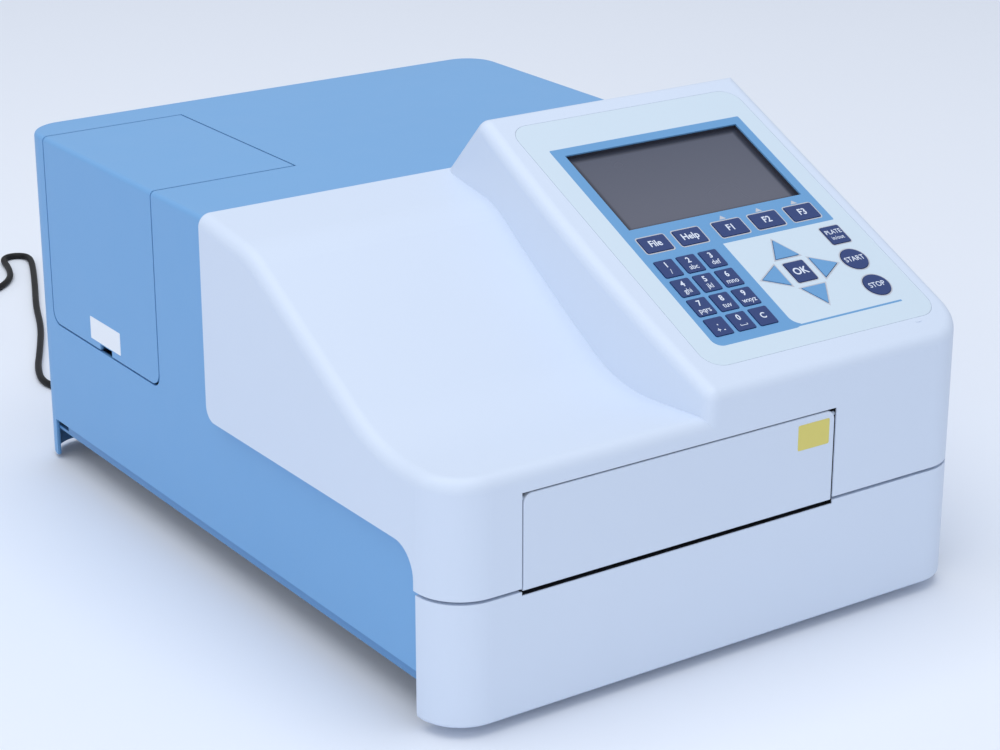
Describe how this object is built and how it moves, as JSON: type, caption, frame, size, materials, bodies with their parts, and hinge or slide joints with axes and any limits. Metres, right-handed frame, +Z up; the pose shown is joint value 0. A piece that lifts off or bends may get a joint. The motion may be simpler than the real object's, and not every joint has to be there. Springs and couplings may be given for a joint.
{
  "type": "microplate reader",
  "caption": "Benchtop absorbance plate reader with a sloping keypad console, a powered plate tray behind a flap and a hinged lamp hatch.",
  "frame": {"origin": "on the bench, under the middle of the footprint", "axes": "+X to the user's right, +Y from the front to the back, +Z up"},
  "size_m": [0.3125, 0.7163, 0.2092],
  "materials": {
    "white_moulding": "satin white",
    "blue_enamel": "fine textured light blue",
    "zinc_sheet": "zinc plated",
    "foot_rubber": "matt",
    "anodised": "anodised",
    "black_anodised": "black anodised",
    "ground_steel": "ground and polished",
    "motor_steel": "black",
    "circuit_board": "green solder resist",
    "black_sheath": "matt black",
    "filter_glass": "polished",
    "reflector": "mirror bright",
    "ceramic": "unglazed",
    "screen": "dark panel",
    "overlay_film": "fine matt film",
    "key_navy": "satin",
    "black_plastic": "satin"
  },
  "bodies": {
    "housing": {"front_cover": "white_moulding", "front_base": "white_moulding", "casing": "blue_enamel", "rear_panel": "blue_enamel", "chassis": "zinc_sheet", "optics_bench": "zinc_sheet", "feet": "foot_rubber", "tray_belt": "foot_rubber", "optics_head": "black_anodised", "guide_rods": "ground_steel", "tray_motor": "motor_steel", "wheel_motor": "motor_steel", "main_board": "circuit_board", "detector_board": "circuit_board", "keypad_board": "circuit_board", "fibre_bundle": "black_sheath", "cord": "black_sheath", "cord_coil": "black_sheath", "cord_plug": "black_sheath", "cord_connector": "black_sheath", "lamp": "reflector", "lamp_socket": "ceramic", "display": "screen", "overlay": "overlay_film", "rear_sockets": "black_plastic", "switch_body": "black_plastic"},
    "tray": {"plate_tray": "black_anodised", "tray_carriage": "anodised"},
    "door": {"plate_door": "white_moulding"},
    "hatch": {"lamp_hatch": "blue_enamel"},
    "drive": {"drive_pulley": "anodised"},
    "idler": {"idler_pulley": "anodised"},
    "wheel": {"filter_wheel": "black_anodised", "filters": "filter_glass"},
    "rocker": {"switch_rocker": "black_plastic"},
    "key_file_cap": {"key_file": "key_navy"},
    "key_help_cap": {"key_help": "key_navy"},
    "key_f1_cap": {"key_f1": "key_navy"},
    "key_f2_cap": {"key_f2": "key_navy"},
    "key_f3_cap": {"key_f3": "key_navy"},
    "key_1_cap": {"key_1": "key_navy"},
    "key_2_cap": {"key_2": "key_navy"},
    "key_3_cap": {"key_3": "key_navy"},
    "key_4_cap": {"key_4": "key_navy"},
    "key_5_cap": {"key_5": "key_navy"},
    "key_6_cap": {"key_6": "key_navy"},
    "key_7_cap": {"key_7": "key_navy"},
    "key_8_cap": {"key_8": "key_navy"},
    "key_9_cap": {"key_9": "key_navy"},
    "key_sign_cap": {"key_sign": "key_navy"},
    "key_0_cap": {"key_0": "key_navy"},
    "key_clear_cap": {"key_clear": "key_navy"},
    "key_ok_cap": {"key_ok": "key_navy"},
    "key_door_cap": {"key_door": "key_navy"},
    "key_up_cap": {"key_up": "key_navy"},
    "key_right_cap": {"key_right": "key_navy"},
    "key_down_cap": {"key_down": "key_navy"},
    "key_left_cap": {"key_left": "key_navy"},
    "key_start_cap": {"key_start": "key_navy"},
    "key_stop_cap": {"key_stop": "key_navy"}
  },
  "joints": [
    {"name": "tray_slide", "type": "slide", "parent": "housing", "child": "tray", "axis": [0, -1, 0], "range_m": [0, 0.284]},
    {"name": "door_hinge", "type": "hinge", "parent": "housing", "child": "door", "pos_m": [-0.022, -0.1978, 0.10319], "axis": [-1, 0, 0], "range_deg": [0, 95]},
    {"name": "hatch_hinge", "type": "hinge", "parent": "housing", "child": "hatch", "pos_m": [-0.04, 0.116, 0.1706], "axis": [0, 1, 0], "range_deg": [0, 95]},
    {"name": "drive_spin", "type": "hinge", "parent": "housing", "child": "drive", "pos_m": [0.077, 0.14, 0.06], "axis": [1, 0, 0], "range_deg": [0, 1830]},
    {"name": "idler_spin", "type": "hinge", "parent": "housing", "child": "idler", "pos_m": [0.077, -0.165, 0.06], "axis": [1, 0, 0], "range_deg": [0, 1830]},
    {"name": "wheel_spin", "type": "hinge", "parent": "housing", "child": "wheel", "pos_m": [-0.1, 0.0985, 0.13], "axis": [0, 1, 0], "continuous": true},
    {"name": "switch_rock", "type": "hinge", "parent": "housing", "child": "rocker", "pos_m": [-0.094, 0.191, 0.046], "axis": [-1, 0, 0], "range_deg": [0, 16]},
    {"name": "key_file_press", "type": "slide", "parent": "housing", "child": "key_file_cap", "axis": [0, 0.4258, -0.9048], "range_m": [0, 0.0004], "stiffness_N_per_m": 800},
    {"name": "key_help_press", "type": "slide", "parent": "housing", "child": "key_help_cap", "axis": [0, 0.4258, -0.9048], "range_m": [0, 0.0004], "stiffness_N_per_m": 800},
    {"name": "key_f1_press", "type": "slide", "parent": "housing", "child": "key_f1_cap", "axis": [0, 0.4258, -0.9048], "range_m": [0, 0.0004], "stiffness_N_per_m": 800},
    {"name": "key_f2_press", "type": "slide", "parent": "housing", "child": "key_f2_cap", "axis": [0, 0.4258, -0.9048], "range_m": [0, 0.0004], "stiffness_N_per_m": 800},
    {"name": "key_f3_press", "type": "slide", "parent": "housing", "child": "key_f3_cap", "axis": [0, 0.4258, -0.9048], "range_m": [0, 0.0004], "stiffness_N_per_m": 800},
    {"name": "key_1_press", "type": "slide", "parent": "housing", "child": "key_1_cap", "axis": [0, 0.4258, -0.9048], "range_m": [0, 0.0004], "stiffness_N_per_m": 800},
    {"name": "key_2_press", "type": "slide", "parent": "housing", "child": "key_2_cap", "axis": [0, 0.4258, -0.9048], "range_m": [0, 0.0004], "stiffness_N_per_m": 800},
    {"name": "key_3_press", "type": "slide", "parent": "housing", "child": "key_3_cap", "axis": [0, 0.4258, -0.9048], "range_m": [0, 0.0004], "stiffness_N_per_m": 800},
    {"name": "key_4_press", "type": "slide", "parent": "housing", "child": "key_4_cap", "axis": [0, 0.4258, -0.9048], "range_m": [0, 0.0004], "stiffness_N_per_m": 800},
    {"name": "key_5_press", "type": "slide", "parent": "housing", "child": "key_5_cap", "axis": [0, 0.4258, -0.9048], "range_m": [0, 0.0004], "stiffness_N_per_m": 800},
    {"name": "key_6_press", "type": "slide", "parent": "housing", "child": "key_6_cap", "axis": [0, 0.4258, -0.9048], "range_m": [0, 0.0004], "stiffness_N_per_m": 800},
    {"name": "key_7_press", "type": "slide", "parent": "housing", "child": "key_7_cap", "axis": [0, 0.4258, -0.9048], "range_m": [0, 0.0004], "stiffness_N_per_m": 800},
    {"name": "key_8_press", "type": "slide", "parent": "housing", "child": "key_8_cap", "axis": [0, 0.4258, -0.9048], "range_m": [0, 0.0004], "stiffness_N_per_m": 800},
    {"name": "key_9_press", "type": "slide", "parent": "housing", "child": "key_9_cap", "axis": [0, 0.4258, -0.9048], "range_m": [0, 0.0004], "stiffness_N_per_m": 800},
    {"name": "key_sign_press", "type": "slide", "parent": "housing", "child": "key_sign_cap", "axis": [0, 0.4258, -0.9048], "range_m": [0, 0.0004], "stiffness_N_per_m": 800},
    {"name": "key_0_press", "type": "slide", "parent": "housing", "child": "key_0_cap", "axis": [0, 0.4258, -0.9048], "range_m": [0, 0.0004], "stiffness_N_per_m": 800},
    {"name": "key_clear_press", "type": "slide", "parent": "housing", "child": "key_clear_cap", "axis": [0, 0.4258, -0.9048], "range_m": [0, 0.0004], "stiffness_N_per_m": 800},
    {"name": "key_ok_press", "type": "slide", "parent": "housing", "child": "key_ok_cap", "axis": [0, 0.4258, -0.9048], "range_m": [0, 0.0004], "stiffness_N_per_m": 800},
    {"name": "key_door_press", "type": "slide", "parent": "housing", "child": "key_door_cap", "axis": [0, 0.4258, -0.9048], "range_m": [0, 0.0004], "stiffness_N_per_m": 800},
    {"name": "key_up_press", "type": "slide", "parent": "housing", "child": "key_up_cap", "axis": [0, 0.4258, -0.9048], "range_m": [0, 0.0004], "stiffness_N_per_m": 800},
    {"name": "key_right_press", "type": "slide", "parent": "housing", "child": "key_right_cap", "axis": [0, 0.4258, -0.9048], "range_m": [0, 0.0004], "stiffness_N_per_m": 800},
    {"name": "key_down_press", "type": "slide", "parent": "housing", "child": "key_down_cap", "axis": [0, 0.4258, -0.9048], "range_m": [0, 0.0004], "stiffness_N_per_m": 800},
    {"name": "key_left_press", "type": "slide", "parent": "housing", "child": "key_left_cap", "axis": [0, 0.4258, -0.9048], "range_m": [0, 0.0004], "stiffness_N_per_m": 800},
    {"name": "key_start_press", "type": "slide", "parent": "housing", "child": "key_start_cap", "axis": [0, 0.4258, -0.9048], "range_m": [0, 0.0004], "stiffness_N_per_m": 800},
    {"name": "key_stop_press", "type": "slide", "parent": "housing", "child": "key_stop_cap", "axis": [0, 0.4258, -0.9048], "range_m": [0, 0.0004], "stiffness_N_per_m": 800}
  ],
  "couplings": [
    {"joint": "door_hinge", "follows": "tray_slide", "rad_per_m": 5.83},
    {"joint": "drive_spin", "follows": "tray_slide", "rad_per_m": 112.36},
    {"joint": "idler_spin", "follows": "tray_slide", "rad_per_m": 112.36}
  ]
}
